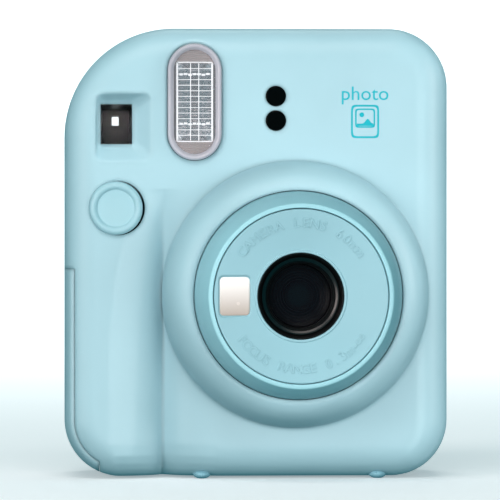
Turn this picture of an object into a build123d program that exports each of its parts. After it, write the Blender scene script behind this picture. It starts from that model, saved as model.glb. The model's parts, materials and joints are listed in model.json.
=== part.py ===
from build123d import *
import math
import os

# Instant camera, millimetres. X is to the viewer's right, the lens looks along -Y, Z is up.
# At rest the camera is switched on: the lens ring is at ON and the lens stands out.

# Casing
WIDTH = 104.0
TOP = 122.0
BASE = 0.5
HALF = WIDTH / 2
Y_FRONT = -8.0
Y_SPLIT = 14.0
Y_BACK = 36.8
WALL = 2.0
R_TOP_LEFT = 29.7
R_TOP_RIGHT = 16.0
R_BOTTOM_RIGHT = 15.3
R_BOTTOM_LEFT = 15.5
R_FRONT_EDGE = 9.0
R_BACK_EDGE = 7.0

# Lens
LENS_X = 10.3
LENS_Z = 50.0
Y_LENS_FRONT = -36.8
DOME_R = 36.0
DOME_TOP_Y = -23.0
BORE_R = 27.9
RING_R = 27.6
PLATE_R = 22.85
LENS_HOLE_R = 11.45
BLADE_PIN_DX = 2.0
BLADE_PIN_DZ = -17.0
BLADE_OPEN = 31.5

# Grip groove
GROOVE_X = -25.4
GROOVE_TOP = 78.0
GROOVE_DEPTH = 7.0
GROOVE_LEFT = 16.5
GROOVE_RIGHT = 14.5
GROOVE_LIFT = 0.02
GROOVE_LEVELS = (-1, 0.5, 0.8, 1.5, 2.6, 4.2, 6.4, 9.5, 20, 32, 42, 50, 57, 63, 68, 72, 75, GROOVE_TOP)
GROOVE_LEVELS_INSIDE = (-1, 0.5, 1.5, 4.2, 9.5, 26, 52, 66, 74, GROOVE_TOP)

# Front fittings: centres as (x, z)
FLASH = (-16.9, 101.8)
FLASH_W = 14.65
FLASH_H = 31.5
SENSORS = ((5.0, 96.8), (5.0, 103.4))
SENSOR_R = 2.74
BUTTON = (-37.6, 73.2)
BUTTON_R = 7.26
BUTTON_DISH_R = 5.1
FINDER_X = (-42.2, -33.7)
FINDER_Z = (90.5, 101.3)
MIRROR_SIZE = (8.2, 10.5)
MIRROR_X = -7.1

# Doors
DOOR_X = -26.5
DOOR_Z = (5.0, 108.0)
DOOR_Y = 30.5
DOOR_AXIS = (50.8, 30.5)
COVER_INSET = 2.8
COVER_GAP = 0.08
COVER_TOP = 56.8
COVER_X = -42.5
COVER_Y = 26.0
COVER_AXIS = (-50.8, 26.0)
KNUCKLE_R = 1.1
HINGE_PIN_R = 0.5
HINGE_CLEAR_R = 1.9
DOOR_HINGE_Z = (40.0, 60.0)
COVER_HINGE_Z = (27.0, 45.0)
RUN = 0.05
GAP = 0.15

# Case screws as (x, z, where the post starts), feet, frame counter, exit flap
SCREW_POSTS = ((-28.2, 12.0, -2.0), (-28.2, 84.0, -6.6), (47.2, 20.0, 0.5), (47.2, 80.0, 0.5))
POST_R = 1.7
SCREW_SEAT_Y = 20.0
SCREW_BOSS_Y = 24.0
FEET_X = (-14.8, 32.9)
FEET_Y = (-1.2, 29.4)
FOOT_SIZE = (2.4, 3.4, 1.3)
DIAL = (-37.0, 77.0)
FLAP_AXIS = (24.0, 118.0)

# Film chamber
FILM_Y = 19.5
BAY_X = (-21.2, 41.8)
BAY_Z = (8.0, 104.0)
BAY_BACK = 33.4
SHEET_W = 54.0
NIP_Y = 21.3
ROLLER_Z = 110.0

# Gears (all turn about X)
MODULE = 0.5
PINION_TEETH = 10
DRIVE_TEETH = 30
ROLLER_TEETH = 12
GEAR_X = (44.4, 46.4)
ROLLER_PITCH = MODULE * ROLLER_TEETH
FRONT_ROLLER = (NIP_Y - ROLLER_PITCH / 2, ROLLER_Z)
REAR_ROLLER = (NIP_Y + ROLLER_PITCH / 2, ROLLER_Z)
DRIVE = (14.1, 100.38)
PINION = (4.1, 100.38)

# Power
CELL_R = 7.2
CELL_X = -38.5
CELL_Y = (3.2, 18.4)
CELL_Z = (7.8, 56.8)


def slab(face, y0, y1):
    """A face drawn in X and Z, extruded from y0 to y1."""
    return extrude(Plane.XZ.offset(-y1) * face, amount=y1 - y0)


def block(x0, x1, y0, y1, z0, z1):
    centre = ((x0 + x1) / 2, (y0 + y1) / 2, (z0 + z1) / 2)
    return Pos(*centre) * Box(x1 - x0, y1 - y0, z1 - z0)


def wall_face(y, x, z, shape):
    """A shape standing in X and Z at depth y, centred on x and z."""
    return Plane.XZ.offset(-y) * Pos(x, z) * shape


def rod_y(x, z, r, y0, y1):
    return Pos(x, (y0 + y1) / 2, z) * Rot(90, 0, 0) * Cylinder(r, y1 - y0)


def rod_x(y, z, r, x0, x1):
    return Pos((x0 + x1) / 2, y, z) * Rot(0, 90, 0) * Cylinder(r, x1 - x0)


def rod_z(x, y, r, z0, z1):
    return Pos(x, y, (z0 + z1) / 2) * Cylinder(r, z1 - z0)


def turned(face, x=LENS_X, z=LENS_Z):
    """A face drawn as (radius, y), turned about the line through x and z along Y."""
    return Pos(x, 0, z) * revolve(face, Axis.Y, 360)


def profile(*points):
    return make_face(Polyline(*points, points[0]))


def coil(x, y, z0, z1, radius, wire, turns):
    """A compression spring along Z."""
    path = Helix((z1 - z0) / turns, z1 - z0, radius, (x, y, z0))
    start = Plane(origin=path @ 0, z_dir=path % 0)
    return sweep(start * Circle(wire), path=path)


def outline(inset):
    """The rounded casing outline seen from the front, moved in by inset."""
    x0 = -HALF + inset
    x1 = HALF - inset
    z0 = BASE + inset
    z1 = TOP - inset
    tl = R_TOP_LEFT - inset
    tr = R_TOP_RIGHT - inset
    br = R_BOTTOM_RIGHT - inset
    bl = R_BOTTOM_LEFT - inset
    s = 1 - math.sqrt(0.5)
    edges = [
        Line((x0 + tl, z1), (x1 - tr, z1)),
        ThreePointArc((x1 - tr, z1), (x1 - tr * s, z1 - tr * s), (x1, z1 - tr)),
        Line((x1, z1 - tr), (x1, z0 + br)),
        ThreePointArc((x1, z0 + br), (x1 - br * s, z0 + br * s), (x1 - br, z0)),
        Line((x1 - br, z0), (x0 + bl, z0)),
        ThreePointArc((x0 + bl, z0), (x0 + bl * s, z0 + bl * s), (x0, z0 + bl)),
        Line((x0, z0 + bl), (x0, z1 - tl)),
        ThreePointArc((x0, z1 - tl), (x0 + tl * s, z1 - tl * s), (x0 + tl, z1)),
    ]
    return make_face(edges)


def pillow(inset):
    """The casing block with round front and back edges."""
    body = slab(outline(inset), Y_FRONT + inset, Y_BACK - inset)
    body = fillet(body.edges().group_by(Axis.Y)[0], R_FRONT_EDGE - inset)
    return fillet(body.edges().group_by(Axis.Y)[-1], R_BACK_EDGE - inset)


def groove_section(z, depth, setback):
    """The valley's cross-section at height z, moved back by setback where the casing's foot curves
    in: steep beside the grip, gentle beside the body."""
    front = Y_FRONT + setback
    left = (GROOVE_X - GROOVE_LEFT, front - GROOVE_LIFT)
    valley = (GROOVE_X, front + depth)
    right = (GROOVE_X + GROOVE_RIGHT, front - GROOVE_LIFT)
    fore = Y_FRONT - 4
    edges = [
        Spline(left, valley, tangents=((1, 0.01), (1, depth / 3.6))),
        Spline(valley, right, tangents=((1, -depth / 5.0), (1, -0.01))),
        Line(right, (right[0], fore)),
        Line((right[0], fore), (left[0], fore)),
        Line((left[0], fore), left),
    ]
    return Pos(0, 0, z) * make_face(edges)


def foot_setback(z):
    """How far the casing's front lies behind its flat at height z, along the bottom rounding."""
    drop = max(0, BASE + R_FRONT_EDGE - z)
    if drop > R_FRONT_EDGE:
        return R_FRONT_EDGE + 3 * (drop - R_FRONT_EDGE)
    return R_FRONT_EDGE - math.sqrt(R_FRONT_EDGE ** 2 - drop ** 2)


def groove(levels):
    """Full depth at the bottom, fading out towards the top, built in straight-ruled steps."""
    sections = []
    for z in levels:
        share = ((z + 2) / (GROOVE_TOP + 2)) ** 2.6
        depth = GROOVE_DEPTH * max(0, 1 - share) ** 0.8
        sections.append(groove_section(z, max(0.12, depth), foot_setback(z)))
    return loft(sections, ruled=True)


def dome_solid(outer_r, top_y, top_r, root_y):
    """A quarter-ellipse hill about the lens axis."""
    arc = [
        (top_r + (outer_r - top_r) * math.cos(a), Y_FRONT + (top_y - Y_FRONT) * math.sin(a))
        for a in [math.radians(10 * k) for k in range(10)]
    ]
    edges = [
        Line((0, root_y), (outer_r, root_y)),
        Line((outer_r, root_y), arc[0]),
        Spline(*arc, tangents=((0, -1), (-1, 0))),
        Line(arc[-1], (0, top_y)),
        Line((0, top_y), (0, root_y)),
    ]
    return turned(make_face(edges))


def finder_pocket(grow, y0, y1):
    """The tapered recess in front of the viewfinder, wide and shallow to the lower right."""
    mouth = (-43.8 - grow, -27.8 + grow, 85.1 - grow, 104.5 + grow)
    floor = (-42.9 - grow, -32.9 + grow, 89.7 - grow, 102.1 + grow)
    faces = []
    for x0, x1, z0, z1, y in ((*mouth, y0), (*floor, y1)):
        shape = RectangleRounded(x1 - x0, z1 - z0, 2.0)
        faces.append(wall_face(y, (x0 + x1) / 2, (z0 + z1) / 2, shape))
    return loft(faces)


def stadium(inset):
    return Pos(*FLASH) * SlotOverall(FLASH_H - 2 * inset, FLASH_W - 2 * inset, rotation=90)


def casing():
    """The hollow casing before it is parted into covers."""
    outer = pillow(0) - groove(GROOVE_LEVELS)
    outer += dome_solid(DOME_R, DOME_TOP_Y, BORE_R, 0)
    hollow = pillow(WALL) - Pos(0, 2.3, 0) * groove(GROOVE_LEVELS_INSIDE)
    inner_dome = dome_solid(DOME_R - WALL, DOME_TOP_Y + WALL, BORE_R + 1.6, 0)
    bore_wall = rod_y(LENS_X, LENS_Z, BORE_R + 1.6, DOME_TOP_Y - 1, Y_FRONT + WALL)
    hollow += inner_dome - bore_wall
    shell = outer - hollow
    shell -= rod_y(LENS_X, LENS_Z, BORE_R, DOME_TOP_Y - 2, 0)
    pocket = finder_pocket(1.5, -8.6, -2.4) & pillow(0)
    shell += pocket
    shell -= finder_pocket(0, -8.6, -3.9)
    return shell


def cover_zone(shrink):
    """The space of the battery cover: a band inside the outline, left of x and below z."""
    band = slab(outline(-1), Y_FRONT - 1, COVER_Y - shrink)
    band -= slab(outline(COVER_INSET - shrink), Y_FRONT - 2, COVER_Y + 1)
    return band & block(-60, COVER_X - shrink, -20, 40, -1, COVER_TOP - shrink)


def door_zone(shrink):
    z0 = DOOR_Z[0] + shrink
    z1 = DOOR_Z[1] - shrink
    return block(DOOR_X + shrink, HALF + 1, DOOR_Y + shrink, Y_BACK + 1, z0, z1)


def make_battery_cover(shell):
    x, y = COVER_AXIS
    cover = shell & cover_zone(COVER_GAP)
    cover -= rod_z(x, y, HINGE_CLEAR_R, COVER_HINGE_Z[0] - GAP, COVER_HINGE_Z[1] + GAP)
    for z0, z1 in ((20.0, 26.7), (45.3, 52.0)):
        cover += rod_z(x, y, KNUCKLE_R, z0, z1)
        cover += block(x - 0.9, x + 0.8, y - 2.5, y - 0.3, z0, z1)
    return cover - rod_z(x, y, HINGE_PIN_R + RUN, 18, 54)


def make_film_door(shell):
    x, y = DOOR_AXIS
    door = shell & door_zone(GAP)
    door -= rod_z(x, y, HINGE_CLEAR_R, DOOR_HINGE_Z[0] - GAP, DOOR_HINGE_Z[1] + GAP)
    for z0, z1 in ((25.0, 39.7), (60.3, 75.0)):
        door += rod_z(x, y, KNUCKLE_R, z0, z1)
        door += block(x - 0.9, x + 0.9, y + 0.3, y + 2.5, z0, z1)
    door -= rod_z(x, y, HINGE_PIN_R + RUN, 20, 80)
    catch = block(-26.0, -24.8, 30.0, 35.5, 48, 58)
    catch -= block(-27, -24, 31.0, 33.2, 50, 56.2)
    catch -= block(-27, -24, 29.0, 33.2, 53.2, 56.2)
    door += catch
    return door - block(4.8, 15.8, 30, 38, 38, 82)


def cut_hinges(shell):
    """Rolling clearance for the two hinges, with the case's own knuckles left standing."""
    shell -= rod_z(*COVER_AXIS, HINGE_CLEAR_R, 2, COVER_TOP)
    shell -= rod_z(*DOOR_AXIS, HINGE_CLEAR_R, DOOR_Z[0], DOOR_Z[1])
    return shell


def case_body(shell):
    body = shell - cover_zone(0) - door_zone(0)
    body = cut_hinges(body)
    return body


def make_front_cover(body):
    cover = body & block(-60, 60, -40, Y_SPLIT, -2, 130)
    cover -= rod_y(*BUTTON, BUTTON_R + RUN, -12, 0)
    cover -= slab(stadium(-0.1), -12, -2)
    for sx, sz in SENSORS:
        cover -= rod_y(sx, sz, SENSOR_R + 0.06, -12, -4)
    cover -= block(*FINDER_X, -6, 0, *FINDER_Z)
    for sx, sz, y0 in SCREW_POSTS:
        cover += rod_y(sx, sz, POST_R, y0, Y_SPLIT)
        if sx > 0:
            cover += block(sx, 51, 8, Y_SPLIT, sz - 1.1, sz + 1.1)
        cover -= rod_y(sx, sz, 0.8, Y_SPLIT - 8, Y_SPLIT)
    for foot_x in FEET_X:
        cover -= foot(foot_x, FEET_Y[0])
    return cover


def make_rear_cover(body):
    cover = body & block(-60, 60, Y_SPLIT, 60, -2, 130)
    x, y = DOOR_AXIS
    cover += rod_z(x, y, KNUCKLE_R, *DOOR_HINGE_Z)
    cover += block(x - 0.8, x + 0.9, y - 3, y - 0.3, *DOOR_HINGE_Z)
    cover -= rod_z(x, y, HINGE_PIN_R + RUN, 20, 80)
    x, y = COVER_AXIS
    cover += rod_z(x, y, KNUCKLE_R, *COVER_HINGE_Z)
    cover += block(x - 0.9, x + 0.8, y + 0.3, y + 3, *COVER_HINGE_Z)
    cover -= rod_z(x, y, HINGE_PIN_R + RUN, 18, 54)
    cover -= block(-18.2, 38.8, 19.9, 22.7, 117, 125)
    cover += block(47.6, 51, 17, 27, 84.5, 95.5) - block(49.2, 53, 18, 26, 85.5, 94.5)
    cover -= block(49.2, 53, 18, 26, 85.5, 94.5)
    cover += rod_z(50.8, 22.0, 1.5, 84.6, 85.5) & pillow(0)
    cover -= rod_z(50.6, 22.0, 0.8, 84.9, 95.1)
    for sx, sz, y0 in SCREW_POSTS:
        cover += rod_y(sx, sz, POST_R, Y_SPLIT, SCREW_BOSS_Y)
        if sx > 0:
            cover += block(sx, 51, Y_SPLIT, SCREW_BOSS_Y, sz - 1.1, sz + 1.1)
        elif sz > 50:
            cover += block(sx - 0.6, sx + 0.6, Y_SPLIT, Y_BACK - 1, sz + 1.0, sz + 4)
        else:
            cover += block(sx - 0.6, sx + 0.6, Y_SPLIT, SCREW_BOSS_Y, BASE + 1, sz - 1)
        cover -= rod_y(sx, sz, 0.85, Y_SPLIT, SCREW_BOSS_Y + 1)
        cover -= rod_y(sx, sz, 1.5, SCREW_SEAT_Y, 60)
    for foot_x in FEET_X:
        cover -= foot(foot_x, FEET_Y[1])
    cover -= block(-42.0, -34.0, 33, 38, 91.0, 101.0)
    cover += rod_y(DIAL[0], DIAL[1], 1.0, 31.5, 35.5)
    cover -= block(DIAL[0] - 6.0, DIAL[0] - 2.0, 34, 38, DIAL[1] - 1.5, DIAL[1] + 1.5)
    cover -= block(-31.2, -28.4, 34, 38, 48.5, 60.5)
    for bx0, bx1 in ((-20.6, -19.3), (39.6, 40.9)):
        ear = block(bx0, bx1, 22.4, 25.6, 116.6, 120.4)
        cover += ear - rod_x(*FLAP_AXIS, 0.8 + RUN, bx0 - 1, bx1 + 1)
    return cover


def foot(x, y):
    """A flattened egg let into the casing's lower rounding, cut flat where it stands."""
    egg = Pos(x, y, FOOT_SIZE[2] - 0.15) * scale(Sphere(1), by=FOOT_SIZE)
    egg &= block(x - 5, x + 5, y - 5, y + 5, 0, 4)
    return egg - pillow(0.4)


def make_feet():
    return Compound([foot(x, y) for x in FEET_X for y in FEET_Y])


def make_case_screws():
    screws = []
    for x, z, y0 in SCREW_POSTS:
        seat = SCREW_SEAT_Y
        screw = rod_y(x, z, 0.75, Y_SPLIT - 7, seat) + rod_y(x, z, 1.4, seat, seat + 1.3)
        screw -= block(x - 0.9, x + 0.9, seat + 0.8, seat + 2, z - 0.18, z + 0.18)
        screws.append(screw)
    return Compound(screws)


def make_exit_flap():
    y, z = FLAP_AXIS
    flap = rod_x(y, z, 0.8, -20.5, 40.8)
    return flap + block(-17.9, 38.5, 19.7, y, z - 0.3, z + 0.3)


def make_strap_bar():
    return rod_z(50.6, 22.0, 0.8, 84.9, 95.1)


# Film transport

def make_chassis():
    frame = block(BAY_X[0] - 2, BAY_X[1] + 2, FILM_Y - 2, BAY_BACK, BAY_Z[0] - 2, BAY_Z[1] + 2)
    frame = fillet(frame.edges().filter_by(Axis.Y), 2.0)
    frame -= block(*BAY_X, FILM_Y, BAY_BACK + 1, *BAY_Z)
    frame -= block(LENS_X - 23, LENS_X + 23, 17, 20, LENS_Z - 31, LENS_Z + 31)
    frame -= block(-17.4, 38.0, 20.2, 22.4, 103, 107)
    front = block(-16.5, 37.5, -3.6, -2.0, 14, 86)
    front -= rod_y(LENS_X, LENS_Z, 13.0, -4, 0)
    frame += front
    frame += block(-16.5, -15.0, -3.6, FILM_Y - 1, 14, 86)
    frame += block(36.0, 37.5, -3.6, FILM_Y - 1, 14, 86)
    frame += block(41.8, 43.8, -2.0, 30.0, 92, 115)
    frame += block(36.0, 43.8, -3.3, -2.0, 80, 94)
    frame += block(37.5, 43.8, -3.6, FILM_Y, 92, 93.5)
    for y, z in (FRONT_ROLLER, REAR_ROLLER):
        frame -= rod_x(y, z, 1.2 + RUN, 40, 45)
    frame -= rod_x(*PINION, 1.6, 40, 45)
    frame += rod_x(*DRIVE, 1.0, 43, 47)
    frame -= block(-20.3, -17.7, 17, 20, 19, 32)
    return frame


def make_light_cone():
    rings = [
        wall_face(y, LENS_X, LENS_Z, Rectangle(w, h))
        for y, w, h in ((-1.9, 29, 29), (17.4, 50, 66), (-2.0, 26, 26), (17.5, 47, 63))
    ]
    return loft(rings[:2]) - loft(rings[2:])


def make_guide_tube():
    tube = rod_y(LENS_X, LENS_Z, 24.0, -21.0, -3.6)
    return tube - rod_y(LENS_X, LENS_Z, 22.65, -22, -3)


def make_roller_bracket():
    plate = block(-23.2, -21.2, 14.5, 29.0, 106, 115)
    for y, z in (FRONT_ROLLER, REAR_ROLLER):
        plate -= rod_x(y, z, 1.2 + RUN, -25, -20)
    return plate


def make_roller_springs():
    strips = []
    for x0, x1 in ((-23.0, -21.4), (42.0, 43.6)):
        strips.append(block(x0, x1, 16.0, 27.0, 115.0, 115.3))
    return Compound(strips)


def gear(centre, teeth, x0, x1, phase, bore):
    """A spur gear about X. A tooth stands at the angle phase, counted from +Y towards +Z."""
    pitch_r = MODULE * teeth / 2
    root_r = pitch_r - 1.2 * MODULE
    tip_r = pitch_r + 0.85 * MODULE
    step = 2 * math.pi / teeth
    points = []
    for k in range(teeth):
        mid = phase + k * step
        for r, share in ((root_r, -0.30), (tip_r, -0.11), (tip_r, 0.11), (root_r, 0.30)):
            angle = mid + share * step
            points.append((r * math.cos(angle), r * math.sin(angle)))
    wheel = extrude(Plane.YZ.offset(x0) * make_face(Polyline(*points, points[0])), amount=x1 - x0)
    wheel = Pos(0, centre[0], centre[1]) * wheel
    if bore:
        wheel -= rod_x(*centre, bore, x0 - 1, x1 + 1)
    return wheel


def meshed_phase(first, first_teeth, first_phase, second, second_teeth):
    """The phase that puts the second gear's teeth in the first gear's gaps."""
    bearing = math.atan2(second[1] - first[1], second[0] - first[0])
    share = ((bearing - first_phase) * first_teeth / (2 * math.pi)) % 1
    return bearing + math.pi - (0.5 - share) * 2 * math.pi / second_teeth


DRIVE_PHASE = 0.0
PINION_PHASE = meshed_phase(DRIVE, DRIVE_TEETH, DRIVE_PHASE, PINION, PINION_TEETH)
FRONT_PHASE = meshed_phase(DRIVE, DRIVE_TEETH, DRIVE_PHASE, FRONT_ROLLER, ROLLER_TEETH)
REAR_PHASE = meshed_phase(FRONT_ROLLER, ROLLER_TEETH, FRONT_PHASE, REAR_ROLLER, ROLLER_TEETH)


def make_drive_gear():
    wheel = gear(DRIVE, DRIVE_TEETH, *GEAR_X, DRIVE_PHASE, 1.0 + RUN)
    for k in range(5):
        angle = k * 2 * math.pi / 5
        y = DRIVE[0] + 4.2 * math.cos(angle)
        z = DRIVE[1] + 4.2 * math.sin(angle)
        wheel -= rod_x(y, z, 1.3, 44, 47)
    return wheel


def make_motor_pinion():
    wheel = gear(PINION, PINION_TEETH, *GEAR_X, PINION_PHASE, 0)
    return wheel + rod_x(*PINION, 0.75, 38.0, 45.0)


def make_roller(centre, phase):
    wheel = gear(centre, ROLLER_TEETH, *GEAR_X, phase, 0)
    wheel += rod_x(*centre, 2.95, -18.0, 38.6)
    return wheel + rod_x(*centre, 1.2, -23.1, 45.0)


def make_motor():
    can = rod_x(*PINION, 6.0, 20.0, 41.0)
    can += rod_x(*PINION, 1.5, 41.0, 43.0)
    can += rod_x(*PINION, 1.5, 19.0, 20.0)
    return can - rod_x(*PINION, 0.75 + RUN, 37.0, 44.0)


def make_film_claw():
    claw = block(-20.0, -18.0, 15.6, 17.2, 20, 60)
    return claw + block(-20.0, -18.0, 16, 20.3, 20.5, 23)


# Lens

def make_lens_ring():
    edges = [
        Polyline((25.4, -17.0), (RING_R, -17.0), (RING_R, -22.6)),
        Spline((RING_R, -22.6), (26.9, -27.5), (25.0, -34.4), (24.3, -36.3),
               tangents=((0, -1), (-0.5, -1))),
        ThreePointArc((24.3, -36.3), (23.8, Y_LENS_FRONT), (23.3, -36.4)),
        Polyline((23.3, -36.4), (23.15, -36.0), (23.15, -31.0), (25.4, -28.5), (25.4, -17.0)),
    ]
    return turned(make_face(edges))


def make_lens_barrel():
    barrel = turned(profile(
        (21.6, -11.0), (22.6, -11.0), (22.6, -30.0), (23.1, -30.0), (23.1, -34.6), (21.6, -34.6),
    ))
    barrel += turned(profile((8.5, -30.0), (21.7, -30.0), (21.7, -28.5), (8.5, -28.5)))
    barrel += turned(profile((8.45, -30.0), (9.6, -30.0), (9.6, -24.0), (8.45, -24.0)))
    for side in (-1, 1):
        x = LENS_X + side * BLADE_PIN_DX
        barrel += rod_y(x, LENS_Z + BLADE_PIN_DZ, 0.8, -31.2, -29.5)
    return barrel


def cone_y(r):
    """Height of the dished front plate at radius r."""
    return -34.0 - (r - LENS_HOLE_R) * 2.4 / (PLATE_R - LENS_HOLE_R)


def mirror_block(w, t, h):
    tilt = math.degrees(math.atan2(2.4, PLATE_R - LENS_HOLE_R))
    spot = Pos(MIRROR_X, cone_y(LENS_X - MIRROR_X) + 0.25, LENS_Z)
    return spot * Rot(0, 0, tilt) * Box(w, t, h)


def make_front_plate():
    plate = turned(profile(
        (LENS_HOLE_R, -34.0), (PLATE_R, -36.4), (PLATE_R, -35.0), (LENS_HOLE_R, -32.7),
    ))
    return plate - mirror_block(MIRROR_SIZE[0], 1.0, MIRROR_SIZE[1])


def make_selfie_mirror():
    mirror = mirror_block(MIRROR_SIZE[0] - 0.1, 1.0, MIRROR_SIZE[1] - 0.1)
    return fillet(mirror.edges().filter_by(Axis.Y, tolerance=20), 0.9)


def make_lens_hood():
    return turned(profile(
        (8.4, -31.3), (21.5, -31.3), (21.5, -32.0), (9.4, -32.0), (11.4, -33.9), (11.4, -34.2),
        (11.1, -34.2), (8.4, -31.9),
    ))


def make_front_lens():
    lens = rod_y(LENS_X, LENS_Z, 8.4, -29.8, -25.6)
    dome = Pos(LENS_X, -29.8 + 26.0, LENS_Z) * Sphere(26.0)
    hollow = Pos(LENS_X, -26.4 + 22.0, LENS_Z) * Sphere(22.0)
    return (lens & dome) - hollow


def make_rear_lens():
    lens = rod_y(LENS_X, LENS_Z, 5.0, -15.6, -12.6)
    return lens & (Pos(LENS_X, -12.6 - 14.0, LENS_Z) * Sphere(14.0))


def make_blade(side):
    """One half of the lens barrier, drawn shut and stored open. side is -1 left, 1 right."""
    half = rod_y(LENS_X, LENS_Z, 8.9, -30.9, -30.4)
    edge = LENS_X + side * 0.12
    outer = edge + side * 30
    blade = half & block(min(edge, outer), max(edge, outer), -32, -30, 0, 100)
    px = LENS_X + side * BLADE_PIN_DX
    pz = LENS_Z + BLADE_PIN_DZ
    blade += rod_y(px, pz, 1.7, -30.9, -30.4)
    blade += block(px - 1.1, px + 1.1, -30.9, -30.4, pz, LENS_Z - 7)
    blade -= rod_y(px, pz, 0.8 + RUN, -32, -30)
    turn = Pos(px, 0, pz) * Rot(0, side * BLADE_OPEN, 0) * Pos(-px, 0, -pz)
    return turn * blade


def make_shutter_base():
    base = turned(profile((2.36, -17.3), (21.5, -17.3), (21.5, -18.5), (2.36, -18.5)))
    base += turned(profile((5.05, -17.4), (6.5, -17.4), (6.5, -12.2), (5.05, -12.2)))
    return base + rod_y(LENS_X + 9, LENS_Z - 6, 0.7, -19.5, -18.0)


def make_shutter_blade():
    px = LENS_X + 9
    pz = LENS_Z - 6
    blade = rod_y(LENS_X, LENS_Z, 3.4, -19.1, -18.7) + rod_y(px, pz, 1.6, -19.1, -18.7)
    arm = Rectangle(math.hypot(9, 6), 2.4, align=(Align.MIN, Align.CENTER))
    angle = math.degrees(math.atan2(6, -9))
    blade += slab(Pos(px, pz) * Rot(0, 0, angle) * arm, -19.1, -18.7)
    return blade - rod_y(px, pz, 0.7 + RUN, -20, -18)


def make_shutter_solenoid():
    coil_body = rod_y(LENS_X - 13, LENS_Z + 8, 3.4, -24.5, -18.5)
    return coil_body + block(LENS_X - 17, LENS_X - 9, -19.3, -18.5, LENS_Z + 2, LENS_Z + 12)


# Flash and light sensors

def make_flash_lens():
    cap = fillet(slab(stadium(0), -10.0, -6.4).edges().group_by(Axis.Y)[0], 0.8)
    return cap - slab(stadium(1.2), -8.9, -6)


def make_flash_frame():
    frame = slab(stadium(1.3), -8.6, -6.8)
    x, z = FLASH
    frame -= block(x - 4.0, x + 4.0, -9, -6, z - 10.3, z + 10.3)
    for k in range(4):
        for way in (-1, 1):
            zz = z + way * (11.6 + k * 0.7)
            frame -= block(x - 5.0, x + 5.0, -9, -8.3, zz - 0.15, zz + 0.15)
    return frame


def make_flash_reflector():
    x, z = FLASH
    trough = block(x - 4.8, x + 4.8, -6.7, 0.5, z - 10.8, z + 10.8)
    cut = rod_z(x, -4.2, 3.6, z - 10.2, z + 10.2)
    cut += block(x - 3.6, x + 3.6, -8, -4.2, z - 10.2, z + 10.2)
    return trough - cut - rod_z(x, -3.4, 1.3, z - 12, z + 12)


def make_xenon_tube():
    x, z = FLASH
    return rod_z(x, -3.4, 1.1, z - 11.8, z + 11.8)


def make_flash_capacitor():
    can = rod_x(10.0, 91.5, 4.5, -22.0, 14.0)
    return fillet(can.edges().group_by(Axis.X)[0], 0.8)


def make_flash_transformer():
    core = block(-6.0, 2.0, -3.2, 4.0, 105.5, 114.0)
    return core - block(-6.5, -4.8, -1, 2, 105, 115) - block(0.8, 3, -1, 2, 105, 115)


def make_sensor_windows():
    discs = []
    for x, z in SENSORS:
        disc = rod_y(x, z, SENSOR_R, -8.3, -6.6)
        discs.append(fillet(disc.edges().group_by(Axis.Y)[0], 0.4))
    return Compound(discs)


def make_photo_sensors():
    return Compound([rod_y(x, z, 1.6, -6.4, -4.85) for x, z in SENSORS])


def make_main_board():
    return block(-8.0, 40.0, -4.8, -3.65, 87.5, 114)


# Viewfinder

def make_viewfinder_window():
    return block(FINDER_X[0] + 0.1, FINDER_X[1] - 0.1, -3.7, -2.6, FINDER_Z[0] + 0.1, FINDER_Z[1] - 0.1)


def make_viewfinder_tube():
    tube = block(-43.4, -32.5, -2.2, 33.0, 89.2, 102.6)
    tube -= block(-42.2, -33.7, -3, 31.8, 90.4, 101.4)
    return tube - block(-39.2, -37.0, 31, 34, 96.4, 99.2)


def make_viewfinder_lens():
    glass = block(-42.2, -33.7, 3.0, 5.5, 90.4, 101.4)
    return glass - Pos(-37.95, 3.0 - 19.0, 95.9) * Sphere(20.0)


def make_viewfinder_eyepiece():
    glass = block(-41.9, -34.1, 33.0, 36.0, 91.1, 100.9)
    return glass & (Pos(-38, 36.0 - 40.0, 96) * Sphere(40.0))


# Shutter button

def make_shutter_button():
    x, z = BUTTON
    edges = [
        Polyline((0, -8.2), (0, -3.2), (1.0, -3.2), (1.0, -4.6), (BUTTON_R, -4.6),
                 (BUTTON_R, -8.2)),
        Spline((BUTTON_R, -8.2), (6.2, -9.35), (BUTTON_DISH_R, -8.9), tangents=((0, -1), (-0.7, 1))),
        Spline((BUTTON_DISH_R, -8.9), (3.0, -8.45), (0, -8.2), tangents=((-1, 0.35), (-1, 0))),
    ]
    lip = rod_y(x, z, BUTTON_R + 1, -5.3, -4.6) & block(x - 9, x - 1, -6, -4, z - 9, z + 9)
    return turned(make_face(edges), x, z) + lip


def make_button_spring():
    x, z = BUTTON
    spring = coil(0, 0, 0, 3.4, 2.2, 0.2, 4)
    return Pos(x, -1.0, z) * Rot(90, 0, 0) * spring


def make_button_switch():
    x, z = BUTTON
    switch = block(x - 4.5, x + 4.5, 0.9, 4.4, z - 3.5, z + 3.5)
    return switch + rod_y(x, z, 0.9, -1.4, 1.0)


# Power

def make_battery_holder():
    holder = block(-31.0, -30.0, 0.5, 26, 5, 62)
    holder += block(-43.5, -30.0, 0.5, 26, 5, 6.2)
    holder += block(-46, -30.0, 0.5, 26, 59.4, 60.9)
    holder += block(-44.6, -31, 0.5, 3.0, 60, 69.6)
    return holder


def make_battery_cells():
    cells = []
    for y, nub_up in zip(CELL_Y, (True, False)):
        cell = fillet(rod_z(CELL_X, y, CELL_R, *CELL_Z).edges(), 0.6)
        if nub_up:
            cell += rod_z(CELL_X, y, 2.7, CELL_Z[1] - 1, CELL_Z[1] + 1.0)
        else:
            cell += rod_z(CELL_X, y, 2.7, CELL_Z[0] - 1.0, CELL_Z[0] + 1)
        cells.append(cell)
    return Compound(cells)


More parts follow.
